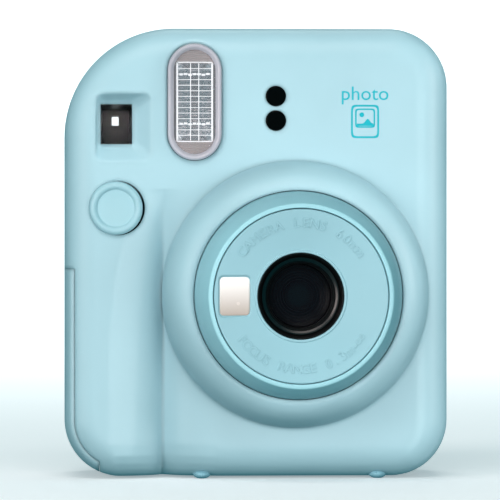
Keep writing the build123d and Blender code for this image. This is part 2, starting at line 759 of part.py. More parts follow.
def make_battery_contacts():
    parts = [
        block(CELL_X - 4, CELL_X + 5, CELL_Y[0] - 2.5, CELL_Y[0] + 5, 58.9, 59.4),
        block(CELL_X - 4, CELL_X + 5, CELL_Y[1] - 5, CELL_Y[1] + 5, 6.2, 6.7),
        coil(CELL_X, CELL_Y[0], 6.5, 7.5, 3.4, 0.22, 2),
        coil(CELL_X, CELL_Y[1], 57.1, 59.1, 3.4, 0.22, 2),
    ]
    return Compound(parts)


# Back

def make_film_window():
    pane = block(4.9, 15.7, 35.0, 36.3, 38.1, 81.9)
    return fillet(pane.edges().filter_by(Axis.Y), 0.6)


def make_pack_springs():
    strips = []
    for x0 in (-8.0, 24.0):
        strip = block(x0, x0 + 6, 34.4, 34.8, 30, 90)
        strip += block(x0, x0 + 6, 34.0, 34.4, 45, 75)
        strips.append(strip)
    return Compound(strips)


def make_door_latch():
    latch = block(-30.9, -28.7, 34.3, 36.4, 49.0, 56.5)
    latch += block(-32.0, -27.0, 33.2, 34.5, 46.5, 59.0)
    latch += block(-28.5, -27.0, 31.4, 34.0, 50.4, 52.6)
    return latch + block(-28.5, -24.4, 31.4, 32.8, 50.4, 52.6)


def make_latch_spring():
    return coil(-30.0, 33.0, 59.2, 65.0, 1.0, 0.2, 6)


def make_counter_dial():
    dial = rod_y(*DIAL, 6.6, 32.6, 33.6)
    return dial - rod_y(*DIAL, 1.0 + RUN, 32, 34)


def make_counter_window():
    x, z = DIAL
    return block(x - 5.9, x - 2.1, 35.0, 36.4, z - 1.4, z + 1.4)


def make_door_seal():
    seal = block(BAY_X[0] - 1.0, BAY_X[1] + 1.0, BAY_BACK, 34.6, BAY_Z[0] - 1.0, BAY_Z[1] + 1.0)
    seal = fillet(seal.edges().filter_by(Axis.Y), 3.0)
    inner = block(BAY_X[0], BAY_X[1], BAY_BACK - 1, 36, BAY_Z[0], BAY_Z[1])
    return seal - fillet(inner.edges().filter_by(Axis.Y), 2.2)


def make_door_pin():
    return rod_z(*DOOR_AXIS, HINGE_PIN_R, 24.5, 75.5)


def make_cover_pin():
    return rod_z(*COVER_AXIS, HINGE_PIN_R, 19.5, 52.5)


def build():
    shell = casing()
    body = case_body(shell)
    return {
        "front_cover": make_front_cover(body),
        "rear_cover": make_rear_cover(body),
        "battery_cover": make_battery_cover(shell),
        "film_door": make_film_door(shell),
        "feet": make_feet(),
        "case_screws": make_case_screws(),
        "strap_bar": make_strap_bar(),
        "exit_flap": make_exit_flap(),
        "chassis": make_chassis(),
        "light_cone": make_light_cone(),
        "guide_tube": make_guide_tube(),
        "roller_bracket": make_roller_bracket(),
        "roller_springs": make_roller_springs(),
        "drive_gear": make_drive_gear(),
        "motor_pinion": make_motor_pinion(),
        "front_roller": make_roller(FRONT_ROLLER, FRONT_PHASE),
        "rear_roller": make_roller(REAR_ROLLER, REAR_PHASE),
        "motor": make_motor(),
        "film_claw": make_film_claw(),
        "lens_ring": make_lens_ring(),
        "lens_barrel": make_lens_barrel(),
        "front_plate": make_front_plate(),
        "selfie_mirror": make_selfie_mirror(),
        "lens_hood": make_lens_hood(),
        "front_lens": make_front_lens(),
        "rear_lens": make_rear_lens(),
        "blade_left": make_blade(-1),
        "blade_right": make_blade(1),
        "shutter_base": make_shutter_base(),
        "shutter_blade": make_shutter_blade(),
        "shutter_solenoid": make_shutter_solenoid(),
        "flash_lens": make_flash_lens(),
        "flash_frame": make_flash_frame(),
        "flash_reflector": make_flash_reflector(),
        "xenon_tube": make_xenon_tube(),
        "flash_capacitor": make_flash_capacitor(),
        "flash_transformer": make_flash_transformer(),
        "sensor_windows": make_sensor_windows(),
        "photo_sensors": make_photo_sensors(),
        "main_board": make_main_board(),
        "viewfinder_window": make_viewfinder_window(),
        "viewfinder_tube": make_viewfinder_tube(),
        "viewfinder_lens": make_viewfinder_lens(),
        "viewfinder_eyepiece": make_viewfinder_eyepiece(),
        "shutter_button": make_shutter_button(),
        "button_spring": make_button_spring(),
        "button_switch": make_button_switch(),
        "battery_holder": make_battery_holder(),
        "battery_cells": make_battery_cells(),
        "battery_contacts": make_battery_contacts(),
        "film_window": make_film_window(),
        "pack_springs": make_pack_springs(),
        "door_latch": make_door_latch(),
        "latch_spring": make_latch_spring(),
        "counter_dial": make_counter_dial(),
        "counter_window": make_counter_window(),
        "door_seal": make_door_seal(),
        "door_pin": make_door_pin(),
        "cover_pin": make_cover_pin(),
    }


os.makedirs("parts", exist_ok=True)
for name, shape in build().items():
    export_step(shape, f"parts/{name}.step")
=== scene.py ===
import json
import math

import bpy
import numpy as np
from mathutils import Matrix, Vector


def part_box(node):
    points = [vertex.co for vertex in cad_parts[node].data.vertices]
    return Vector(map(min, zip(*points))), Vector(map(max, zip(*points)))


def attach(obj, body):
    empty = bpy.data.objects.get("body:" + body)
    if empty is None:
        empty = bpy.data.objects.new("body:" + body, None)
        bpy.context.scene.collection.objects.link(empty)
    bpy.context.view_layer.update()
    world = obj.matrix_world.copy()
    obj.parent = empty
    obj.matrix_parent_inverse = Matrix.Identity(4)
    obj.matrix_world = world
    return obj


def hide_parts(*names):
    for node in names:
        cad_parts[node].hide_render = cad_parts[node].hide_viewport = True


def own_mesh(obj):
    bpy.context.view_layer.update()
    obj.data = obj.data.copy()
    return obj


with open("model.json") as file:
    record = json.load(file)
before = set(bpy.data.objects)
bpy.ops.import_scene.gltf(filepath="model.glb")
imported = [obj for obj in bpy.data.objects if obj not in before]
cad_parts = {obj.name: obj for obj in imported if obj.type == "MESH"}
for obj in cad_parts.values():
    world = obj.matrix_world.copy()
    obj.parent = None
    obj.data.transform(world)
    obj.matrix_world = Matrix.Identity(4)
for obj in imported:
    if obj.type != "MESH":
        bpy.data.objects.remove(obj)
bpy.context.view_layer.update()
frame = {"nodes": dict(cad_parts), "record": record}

MM = 0.001
NODES = frame["nodes"]


def mid(node):
    """Centre of a CAD node's box."""
    low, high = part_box(node)
    return (low + high) / 2


# ---------------------------------------------------------------- materials

def new_material(name):
    """An empty material, its node tree and its main shader."""
    material = bpy.data.materials.new(name)
    material.use_nodes = True
    tree = material.node_tree
    shader = tree.nodes["Principled BSDF"]
    return material, tree, shader


def object_noise(tree, scale, detail=3.0, rough=0.5):
    """Noise on the object's own coordinates, in metres."""
    place = tree.nodes.new("ShaderNodeTexCoord")
    noise = tree.nodes.new("ShaderNodeTexNoise")
    noise.inputs["Scale"].default_value = scale
    noise.inputs["Detail"].default_value = detail
    noise.inputs["Roughness"].default_value = rough
    tree.links.new(place.outputs["Object"], noise.inputs["Vector"])
    return noise


def colour_between(tree, factor, low, high, start=0.35, end=0.65):
    """A colour that runs from low to high with the factor, between start and end."""
    ramp = tree.nodes.new("ShaderNodeValToRGB")
    ramp.color_ramp.elements[0].position = start
    ramp.color_ramp.elements[1].position = end
    ramp.color_ramp.elements[0].color = (*low, 1)
    ramp.color_ramp.elements[1].color = (*high, 1)
    tree.links.new(factor, ramp.inputs["Fac"])
    return ramp.outputs["Color"]


def soften_creases(material, radius):
    """Rounds the shading over creases closer together than the radius; the mesh stays as it is."""
    tree = material.node_tree
    blend = tree.nodes.new("ShaderNodeBevel")
    blend.samples = 8
    blend.inputs["Radius"].default_value = radius
    bump = next(n for n in tree.nodes if n.type == "BUMP")
    tree.links.new(blend.outputs["Normal"], bump.inputs["Normal"])


def add_bump(tree, shader, height, strength, distance):
    """A bump from a height, joined to the shader."""
    bump = tree.nodes.new("ShaderNodeBump")
    bump.inputs["Strength"].default_value = strength
    bump.inputs["Distance"].default_value = distance
    tree.links.new(height, bump.inputs["Height"])
    tree.links.new(bump.outputs["Normal"], shader.inputs["Normal"])
    return bump


def rough_between(tree, shader, factor, low, high):
    """Roughness that runs between two values with the factor."""
    span = tree.nodes.new("ShaderNodeMapRange")
    span.inputs["To Min"].default_value = low
    span.inputs["To Max"].default_value = high
    tree.links.new(factor, span.inputs["Value"])
    tree.links.new(span.outputs["Result"], shader.inputs["Roughness"])


def moulded(name, colour, rough=0.42, vary=0.03, grain=0.15, grain_scale=2600, scatter=0.0,
            specular=0.5):
    """Moulded plastic: a slow drift of colour, fine spark-eroded grain, faint roughness patches."""
    material, tree, shader = new_material(name)
    slow = object_noise(tree, 35, 2)
    low = tuple(c * (1 - vary) for c in colour)
    high = tuple(min(1, c * (1 + vary)) for c in colour)
    tree.links.new(colour_between(tree, slow.outputs["Fac"], low, high), shader.inputs["Base Color"])
    fine = object_noise(tree, grain_scale, 2)
    add_bump(tree, shader, fine.outputs["Fac"], grain, 0.00004)
    rough_between(tree, shader, slow.outputs["Fac"], rough - 0.04, rough + 0.05)
    shader.inputs["Specular IOR Level"].default_value = specular
    if scatter:
        shader.inputs["Subsurface Weight"].default_value = scatter
        shader.inputs["Subsurface Radius"].default_value = (0.4, 1.0, 1.0)
        shader.inputs["Subsurface Scale"].default_value = 0.002
    return material


def metal(name, colour, rough=0.3, scratch=0.3, scale=900):
    """Metal with fine drawn scratches."""
    material, tree, shader = new_material(name)
    noise = object_noise(tree, scale, 4, 0.6)
    low = tuple(c * 0.9 for c in colour)
    tree.links.new(colour_between(tree, noise.outputs["Fac"], low, colour), shader.inputs["Base Color"])
    shader.inputs["Metallic"].default_value = 1.0
    rough_between(tree, shader, noise.outputs["Fac"], rough * 0.8, rough * 1.3)
    add_bump(tree, shader, noise.outputs["Fac"], scratch, 0.00002)
    return material


def clear(name, colour, rough=0.03, ior=1.49, alpha=0.25):
    """Clear plastic or glass, thin and see-through, with faint moulding waviness."""
    material, tree, shader = new_material(name)
    noise = object_noise(tree, 120, 1)
    low = tuple(c * 0.97 for c in colour)
    tree.links.new(colour_between(tree, noise.outputs["Fac"], low, colour), shader.inputs["Base Color"])
    rough_between(tree, shader, noise.outputs["Fac"], rough, rough + 0.04)
    shader.inputs["IOR"].default_value = ior
    shader.inputs["Alpha"].default_value = alpha
    add_bump(tree, shader, noise.outputs["Fac"], 0.05, 0.0001)
    return material


def optical(name, colour, rough=0.0, ior=1.5):
    """Optical glass that bends light, with a trace of waviness."""
    material, tree, shader = new_material(name)
    noise = object_noise(tree, 60, 1)
    low = tuple(c * 0.98 for c in colour)
    tree.links.new(colour_between(tree, noise.outputs["Fac"], low, colour), shader.inputs["Base Color"])
    rough_between(tree, shader, noise.outputs["Fac"], rough, rough + 0.01)
    shader.inputs["IOR"].default_value = ior
    shader.inputs["Transmission Weight"].default_value = 1.0
    return material


def painted_reflection_sheet(name, top, bottom, low_z, high_z):
    """A silvered sheet whose colour runs from a light top to a darker, warmer foot, a painted reflection of
    what the mirror faces, with a slow ripple.
    """
    material, tree, shader = new_material(name)
    place = tree.nodes.new("ShaderNodeTexCoord")
    parts = tree.nodes.new("ShaderNodeSeparateXYZ")
    tree.links.new(place.outputs["Object"], parts.inputs["Vector"])
    span = tree.nodes.new("ShaderNodeMapRange")
    span.inputs["From Min"].default_value = low_z
    span.inputs["From Max"].default_value = high_z
    tree.links.new(parts.outputs["Z"], span.inputs["Value"])
    shade = colour_between(tree, span.outputs["Result"], bottom, top, 0.0, 1.0)
    tree.links.new(shade, shader.inputs["Base Color"])
    noise = object_noise(tree, 200, 2)
    add_bump(tree, shader, noise.outputs["Fac"], 0.05, 0.0001)
    shader.inputs["Metallic"].default_value = 0.12
    rough_between(tree, shader, noise.outputs["Fac"], 0.22, 0.3)
    return material


CASING = moulded("casing_blue", (0.305, 0.490, 0.545), rough=0.46, specular=0.6)
soften_creases(CASING, 0.0022)
# painted light: the turning ring takes a lighter copy of the casing blue, standing in for light falling on it
RING_LIT_BLUE = moulded("ring_blue_painted_light", (0.310, 0.590, 0.655), rough=0.44, specular=0.6)
# painted shade: the dished plate and its raised letters take a darker copy of the casing blue, standing in
# for shade on the dish
PLATE_SHADED_BLUE = moulded("plate_blue_painted_shade", (0.255, 0.465, 0.525), rough=0.42, specular=0.6)
BUTTON_BLUE = moulded("button_blue", (0.335, 0.560, 0.620), rough=0.38, specular=0.6)
FOOT_BLUE = moulded("foot_blue", (0.22, 0.45, 0.53), rough=0.6, grain=0.3)
BLACK = moulded("black_moulding", (0.012, 0.012, 0.013), rough=0.5, vary=0.15)
SATIN_BLACK = moulded("satin_black", (0.003, 0.003, 0.003), rough=0.30, vary=0.1, grain=0.05, specular=0.45)
CELL_BLACK = moulded("lens_cell_black", (0.002, 0.002, 0.002), rough=0.34, vary=0.1, grain=0.05,
                     specular=0.25)
GREY = moulded("grey_moulding", (0.16, 0.165, 0.175), rough=0.45)
WHITE = moulded("white_moulding", (0.78, 0.78, 0.77), rough=0.4)
# the white of the flash frame and ribs, also used for the painted highlight bars over the flash tube
GRID_WHITE_AND_HIGHLIGHT = moulded("grid_white_and_highlight", (0.92, 0.92, 0.94), rough=0.2, grain=0.02)
CAP_BROWN = moulded("ridged_taupe", (0.27, 0.215, 0.20), rough=0.18, vary=0.15, grain=0.02, specular=0.9)
BEZEL = moulded("bezel_lavender", (0.46, 0.45, 0.50), rough=0.10, vary=0.10, grain=0.02)
GEAR_WHITE = moulded("gear_acetal", (0.80, 0.77, 0.68), rough=0.35)
CARD_WHITE = moulded("dial_white", (0.75, 0.75, 0.72), rough=0.5)
CELL = moulded("cell_sleeve", (0.05, 0.07, 0.10), rough=0.2, grain=0.02)
SLEEVE = moulded("capacitor_sleeve", (0.02, 0.02, 0.025), rough=0.22, grain=0.02)
BOARD = moulded("board_mask", (0.01, 0.12, 0.06), rough=0.25, vary=0.2, grain=0.3, grain_scale=900)
WINDING = moulded("winding_lacquer", (0.35, 0.13, 0.03), rough=0.25, vary=0.2, grain=0.8,
                  grain_scale=1500)
FOAM = moulded("light_foam", (0.01, 0.01, 0.01), rough=0.95, grain=1.0, grain_scale=1800)
ROLLER = moulded("roller_rubber", (0.02, 0.02, 0.022), rough=0.7, grain=0.4)
TEAL_PRINT = moulded("teal_print", (0.0, 0.42, 0.50), rough=0.4, grain=0.05)
STEEL = metal("drawn_steel", (0.60, 0.60, 0.61))
SPRING = metal("spring_wire", (0.66, 0.66, 0.68), rough=0.2)
BRASS = metal("turned_brass", (0.72, 0.52, 0.22))
CHROME = metal("vapour_chrome", (0.90, 0.90, 0.92), rough=0.12, scratch=0.3, scale=900)
CLEAR = clear("clear_plastic", (0.90, 0.90, 0.93))
PANE = clear("flash_pane", (0.85, 0.86, 0.92), rough=0.04, alpha=0.10)
GLASS = clear("coated_glass", (0.01, 0.01, 0.015), rough=0.10, ior=1.4, alpha=0.22)
BEAD_GLASS = moulded("bead_glass", (0.001, 0.001, 0.001), rough=0.14, grain=0.0, specular=0.5)
TUNED_RING = metal("anodised_ring", (0.075, 0.070, 0.068), rough=0.36, scratch=0.05, scale=300)
FINDER_GLASS = optical("finder_glass", (0.95, 0.95, 0.96), ior=1.1)
SMOKED = moulded("smoked_window", (0.001, 0.001, 0.001), rough=0.10, grain=0.0, specular=0.12)

DRESS = {
    "blue_casing": CASING, "blue_ring": RING_LIT_BLUE, "black_plastic": BLACK, "grey_plastic": GREY,
    "white_plastic": WHITE, "clear_plastic": CLEAR, "dark_window": SMOKED, "lens_glass": GLASS,
    "mirror_coat": CHROME, "reflector_coat": CHROME, "steel": STEEL, "spring_steel": SPRING,
    "brass": BRASS, "foam": FOAM, "roller_rubber": ROLLER, "blue_rubber": FOOT_BLUE,
    "board_green": BOARD, "cell_skin": CELL, "capacitor_skin": SLEEVE, "gear_plastic": GEAR_WHITE,
    "lacquered_coil": WINDING,
}


def dress_cad():
    """Each kept CAD node takes the finish of its material slot."""
    slot_of = {s["node"]: s["material_slot"] for s in frame["record"]["subparts"]}
    for name, thing in NODES.items():
        thing.data.materials.clear()
        thing.data.materials.append(DRESS[slot_of[name]])
    for name in ("viewfinder_window", "viewfinder_lens", "viewfinder_eyepiece"):
        NODES[name].data.materials[0] = FINDER_GLASS
    NODES["shutter_base"].data.materials[0] = CELL_BLACK
    NODES["viewfinder_tube"].data.materials[0] = CELL_BLACK
    NODES["counter_dial"].data.materials[0] = CARD_WHITE


dress_cad()


# ---------------------------------------------------------------- surfaces

LENS_MID = mid("lens_ring")
LENS_X = LENS_MID.x / MM
LENS_Z = LENS_MID.z / MM
BUTTON_MID = mid("shutter_button")
FLASH_MID = mid("flash_lens")


def as_piece(name, points, faces, material, body, smooth=True):
    """A mesh piece from points in millimetres, riding a body."""
    mesh = bpy.data.meshes.new(name)
    mesh.from_pydata((np.asarray(points) * MM).tolist(), [], [list(f) for f in faces])
    mesh.polygons.foreach_set("use_smooth", [smooth] * len(mesh.polygons))
    mesh.materials.append(material)
    mesh.update()
    thing = bpy.data.objects.new(name, mesh)
    bpy.context.scene.collection.objects.link(thing)
    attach(thing, body)
    return thing


def volume_sign(points, quads):
    """The sign of the volume inside a closed quad mesh: the sum of its corner triple products."""
    p = points[quads]
    first = np.einsum("ij,ij->i", p[:, 0], np.cross(p[:, 1], p[:, 2]))
    second = np.einsum("ij,ij->i", p[:, 0], np.cross(p[:, 2], p[:, 3]))
    return np.sign((first + second).sum())


def rounded(corners, steps=6):
    """A path through (a, b, cut) corners: each is cut back by its own length and bridged by a
    quadratic curve whose middle control point is the corner."""
    corners = np.asarray(corners, float)
    path = []
    last = len(corners) - 1
    for k, (a, b, cut) in enumerate(corners):
        here = np.array((a, b))
        if k in (0, last) or cut == 0:
            path.append(here)
            continue
        back = corners[k - 1, :2] - here
        on = corners[k + 1, :2] - here
        size = min(cut, 0.49 * np.hypot(*back), 0.49 * np.hypot(*on))
        start = here + back / np.hypot(*back) * size
        end = here + on / np.hypot(*on) * size
        t = np.linspace(0, 1, steps)[:, None]
        path.extend((1 - t) ** 2 * start + 2 * t * (1 - t) * here + t ** 2 * end)
    return np.array(path)


def spun(path, x, z, steps=192):
    """A closed (radius, y) path carried round the line through x and z along Y. Gives points and quads."""
    angle = np.linspace(0, 2 * math.pi, steps, endpoint=False)
    r = path[:, 0][:, None]
    y = np.broadcast_to(path[:, 1][:, None], (len(path), steps))
    grid = np.stack([x + r * np.cos(angle), y, z + r * np.sin(angle)], -1)
    ids = np.arange(len(path) * steps).reshape(len(path), steps)
    ahead = np.roll(ids, -1, 1)
    under = np.roll(ids, -1, 0)
    both = np.roll(ahead, -1, 0)
    quads = np.stack([ids, ahead, both, under], -1).reshape(-1, 4)
    points = grid.reshape(-1, 3)
    middle = np.array((x, path[:, 1].mean(), z))
    if volume_sign(points - middle, quads) < 0:
        quads = quads[:, ::-1]
    return points, quads


def disc_path(front, back, rim):
    """A lens-like closed path: front and back are y as functions of the share of the radius."""
    t = np.linspace(0.002, 1, 40)
    face = np.stack([t * rim, front(t)], -1)
    rear = np.stack([t[::-1] * rim, back(t[::-1])], -1)
    return np.concatenate([face, rear])


# ---------------------------------------------------------------- lens

def lens_ring():
    """The turning ring: a straight skirt, a wall that leans in towards the rim, a narrow lip."""
    path = rounded([
        (25.4, -28.5, 0), (25.4, -17.0, 0.2), (27.74, -17.0, 0.2), (27.74, -22.9, 1.6), (26.3, -31.5, 4.0),
        (24.35, -36.55, 0.40), (23.25, -36.75, 0.20), (23.12, -36.2, 0.1), (23.12, -31.0, 0.2),
    ], 10)
    points, quads = spun(path, LENS_X, LENS_Z, 256)
    piece = as_piece("turning_ring", points, quads, RING_LIT_BLUE, "lens_ring_body")
    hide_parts("lens_ring")


MIRROR_X = -7.1
MIRROR_W = 8.2
MIRROR_H = 10.5
PLATE_IN = 11.45
PLATE_OUT = 22.96


def cone_y(r):
    """The dished plate's height at radius r: straight from the hole out to the rim."""
    return -34.0 - (r - PLATE_IN) * 2.4 / (PLATE_OUT - PLATE_IN)


def rounded_box_distance(x, z, w, h, corner):
    """Signed distance from a rounded rectangle's edge, below zero inside."""
    qx = np.abs(x) - w / 2 + corner
    qz = np.abs(z) - h / 2 + corner
    outside = np.hypot(np.maximum(qx, 0), np.maximum(qz, 0))
    return outside + np.minimum(np.maximum(qx, qz), 0) - corner


def front_plate():
    """The dished front plate: a cone with a lip round the hole and a rounded rim, pushed in over
    the mirror's rounded rectangle by a soft step."""
    front = rounded([
        (PLATE_IN, -33.0, 0), (PLATE_IN, -34.35, 0.22), (12.05, -34.42, 0.12), (12.2, -34.12, 0.1),
        (PLATE_OUT - 0.3, cone_y(PLATE_OUT - 0.3), 0.25), (PLATE_OUT, -36.15, 0.2), (PLATE_OUT, -35.0, 0),
    ], 6)
    gap = np.argmax(np.diff(front[:, 0]))
    fill = front[gap] + np.linspace(0, 1, 90)[1:-1, None] * (front[gap + 1] - front[gap])
    front = np.concatenate([front[:gap + 1], fill, front[gap + 1:]])
    path = np.concatenate([front, [(22.0, -34.6), (PLATE_IN + 0.6, -32.9)]])
    points, quads = spun(path, LENS_X, LENS_Z, 640)
    near = rounded_box_distance(points[:, 0] - MIRROR_X, points[:, 2] - LENS_Z, MIRROR_W, MIRROR_H, 1.1)
    step = np.clip(0.5 - (near - 0.12) / 0.36, 0, 1)
    step = step * step * (3 - 2 * step)
    facing = (points[:, 1] < cone_y(np.hypot(points[:, 0] - LENS_X, points[:, 2] - LENS_Z)) + 0.3)
    points[:, 1] += 0.45 * step * facing
    piece = as_piece("dished_plate", points, quads, PLATE_SHADED_BLUE, "lens_unit")
    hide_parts("front_plate")


def slab_grid(x, y_front, y_back, z):
    """A thin closed piece from a front and a back grid of the same outline."""
    ring = np.concatenate([np.stack([x, y_front, z], -1), np.stack([x, y_back, z], -1)[::-1]], 0)
    n, m = ring.shape[:2]
    ids = np.arange(n * m).reshape(n, m)
    under = np.roll(ids, -1, 0)
    quads = np.stack([ids[:, :-1], ids[:, 1:], under[:, 1:], under[:, :-1]], -1).reshape(-1, 4)
    points = ring.reshape(-1, 3)
    faces = quads.tolist() + [ids[:, 0].tolist(), ids[::-1, -1].tolist()]
    if volume_sign(points - points.mean(0), quads) < 0:
        faces = [f[::-1] for f in faces]
    return points, faces


def mirror():
    """The small mirror: rows across a rounded rectangle, laid along the dished plate, its edge
    turned back."""
    w = MIRROR_W / 2 - 0.08
    h = MIRROR_H / 2 - 0.08
    corner = 1.1
    u = np.sin(np.linspace(-1, 1, 33) * math.pi / 2)
    v = h * np.sin(np.linspace(-1, 1, 41) * math.pi / 2)
    past = np.clip(np.abs(v) - (h - corner), 0, corner)
    half = w - corner + np.sqrt(corner ** 2 - past ** 2)
    x = MIRROR_X + u[:, None] * half[None, :]
    z = np.broadcast_to(LENS_Z + v[None, :], x.shape)
    edge = np.clip(-rounded_box_distance(x - MIRROR_X, z - LENS_Z, 2 * w, 2 * h, corner) / 0.35, 0, 1)
    y = cone_y(LENS_X - x) + 0.22 + 0.2 * (1 - edge) ** 2
    points, faces = slab_grid(x, y, cone_y(LENS_X - x) + 0.9, z)
    # painted reflection: the mirror's base colour runs from a light top to a darker, warmer foot
    mirror_reflection_paint = painted_reflection_sheet("mirror_painted_reflection", (0.98, 0.95, 0.92), (0.42, 0.35, 0.30),
                   (LENS_Z - MIRROR_H / 2) * MM, (LENS_Z + MIRROR_H / 2) * MM)
    piece = as_piece("portrait_mirror", points, faces, mirror_reflection_paint, "lens_unit")
    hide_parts("selfie_mirror")


def hood():
    """The black funnel in front of the lens: an outer lip, a slope, a round shoulder, a throat."""
    path = rounded([
        (11.35, -33.2, 0), (11.35, -34.15, 0.15), (11.1, -34.2, 0.15), (10.25, -32.4, 0.1),
        (9.0, -32.0, 0.1), (8.6, -31.6, 0.2), (8.4, -31.3, 0.1),
        (21.5, -31.3, 0.2), (21.5, -32.0, 0.2), (11.6, -32.0, 0.4), (11.35, -32.6, 0),
    ], 8)
    points, quads = spun(path, LENS_X, LENS_Z)
    piece = as_piece("lens_funnel", points, quads, SATIN_BLACK, "lens_unit")
    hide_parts("lens_hood")
    path = rounded([
        (10.2, -32.35, 0), (10.2, -32.95, 0.12), (9.75, -32.85, 0.3), (9.1, -32.45, 0.25), (8.95, -31.95, 0),
    ], 8)
    points, quads = spun(path, LENS_X, LENS_Z)
    as_piece("funnel_ring", points, quads, TUNED_RING, "lens_unit")


def lens_glass():
    """The front lens: a shallow cap over a hollow back."""
    outer = disc_path(lambda t: -29.8 + 26 - np.sqrt(26 ** 2 - (8.3 * t) ** 2),
                      lambda t: -26.4 + 22 - np.sqrt(22 ** 2 - (8.3 * t) ** 2), 8.3)
    points, quads = spun(outer, LENS_X, LENS_Z)
    piece = as_piece("front_glass", points, quads, GLASS, "lens_unit")
    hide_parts("front_lens")


def lens_cell():
    """The baffle behind the front lens: rings of falling radius down to the shutter's opening."""
    steps = [(8.3, -25.5), (8.3, -25.9)]
    for k in range(6):
        r = 8.0 - k * 0.75
        steps += [(r, -25.9 + k * 0.55), (r - 0.15, -25.5 + k * 0.55)]
    steps += [(3.6, -22.2), (2.6, -21.9), (2.6, -21.6), (3.8, -21.6), (8.3, -23.6)]
    path = rounded([(a, b, 0.12) for a, b in steps], 4)
    points, quads = spun(path, LENS_X, LENS_Z)
    as_piece("lens_baffle", points, quads, CELL_BLACK, "lens_unit")
    bead = disc_path(lambda t: -26.4 + 7.5 - np.sqrt(7.5 ** 2 - (4.1 * t) ** 2), lambda t: -24.6 + 0 * t, 4.1)
    points, quads = spun(bead, LENS_X, LENS_Z, 128)
    as_piece("inner_glass", points, quads, BEAD_GLASS, "lens_unit")


lens_ring()
front_plate()
mirror()
hood()
lens_glass()
lens_cell()


# ---------------------------------------------------------------- lettering

def glyphs(text, size, depth, bevel=0.0):
    """Solid letters as one mesh lying in X and Y, in millimetres."""
    curve = bpy.data.curves.new("glyph", "FONT")
    curve.body = text
    curve.size = size
    curve.extrude = depth
    curve.bevel_depth = bevel
    curve.bevel_resolution = 1
    curve.resolution_u = 4
    curve.align_x = "CENTER"
    curve.align_y = "CENTER"
    holder = bpy.data.objects.new("glyph", curve)
    bpy.context.scene.collection.objects.link(holder)
    bpy.context.view_layer.update()
    mesh = bpy.data.meshes.new_from_object(holder.evaluated_get(bpy.context.evaluated_depsgraph_get()))
    points = np.array([v.co for v in mesh.vertices]).reshape(-1, 3)
    faces = [list(p.vertices) for p in mesh.polygons]
    bpy.data.objects.remove(holder)
    bpy.data.meshes.remove(mesh)
    bpy.data.curves.remove(curve)
    return points, faces


def arc_text(name, text, radius, middle, spread, inward):
    """Raised letters spaced evenly round the lens axis, each laid on the dished plate. middle is
    the angle of the text's centre from +X, and inward turns the feet of the letters outward."""
    all_points = []
    all_faces = []
    count = 0
    for k, letter in enumerate(text):
        if letter == " ":
            continue
        share = k / (len(text) - 1) - 0.5
        angle = middle + (share if inward else -share) * spread
        points, faces = glyphs(letter, 3.5, 0.10, 0.07)
        turn = angle + math.pi / 2 if inward else angle - math.pi / 2
        flat_x = points[:, 0] * math.cos(turn) - points[:, 1] * math.sin(turn)
        flat_z = points[:, 0] * math.sin(turn) + points[:, 1] * math.cos(turn)
        x = LENS_X + radius * math.cos(angle) + flat_x
        z = LENS_Z + radius * math.sin(angle) + flat_z
        y = cone_y(np.hypot(x - LENS_X, z - LENS_Z)) - points[:, 2] - 0.08
        all_points.append(np.stack([x, y, z], -1))
        all_faces += [[i + count for i in f] for f in faces]
        count += len(points)
    piece = as_piece(name, np.concatenate(all_points), all_faces, PLATE_SHADED_BLUE, "lens_unit", False)
    return piece


arc_text("plate_words_top", "CAMERA LENS 60mm", 19.2, math.radians(90.0), math.radians(106), False)
arc_text("plate_words_foot", "FOCUS RANGE 0.3m-\u221e", 19.2, math.radians(270.0), math.radians(108), True)


def front_print():
    """The printed word."""
    word, faces = glyphs("photo", 5.3, 0.03)
    low, high = word.min(0), word.max(0)
    word[:, :2] -= (low[:2] + high[:2]) / 2
    word[:, 0] *= 12.6 / (high[0] - low[0])
    points = np.stack([29.1 + word[:, 0], -8.02 - word[:, 2], 103.6 + word[:, 1]], -1)
    as_piece("printed_word", points, faces, TEAL_PRINT, "camera_body", False)


front_print()


def bar(x0, x1, y0, y1, z0, z1):
    """The eight corners and six sides of a straight bar."""
    points = [(x, y, z) for x in (x0, x1) for y in (y0, y1) for z in (z0, z1)]
    faces = [(0, 1, 3, 2), (4, 6, 7, 5), (0, 4, 5, 1), (2, 3, 7, 6), (0, 2, 6, 4), (1, 5, 7, 3)]
    return np.array(points, float), faces


def joined(parts):
    """Several point and face lists as one."""
    points = []
    faces = []
    count = 0
    for some_points, some_faces in parts:
        points.append(some_points)
        faces += [[int(i) + count for i in f] for f in some_faces]
        count += len(some_points)
    return np.concatenate(points), faces


def strip_loop(outer, inner, depth, front):
    """A flat band between two closed outlines of the same length, given a thickness along Y."""
    n = len(outer)
    rows = [(outer, front), (inner, front), (inner, front + depth), (outer, front + depth)]
    points = np.concatenate([np.stack([p[:, 0], np.full(n, y), p[:, 1]], -1) for p, y in rows])
    ids = np.arange(4 * n).reshape(4, n)
    ahead = np.roll(ids, -1, 1)
    quads = np.stack([ids, ahead, np.roll(ahead, -1, 0), np.roll(ids, -1, 0)], -1).reshape(-1, 4)
    middle = points.mean(0)
    if volume_sign(points - middle, quads) < 0:
        quads = quads[:, ::-1]
    return points, quads.tolist()


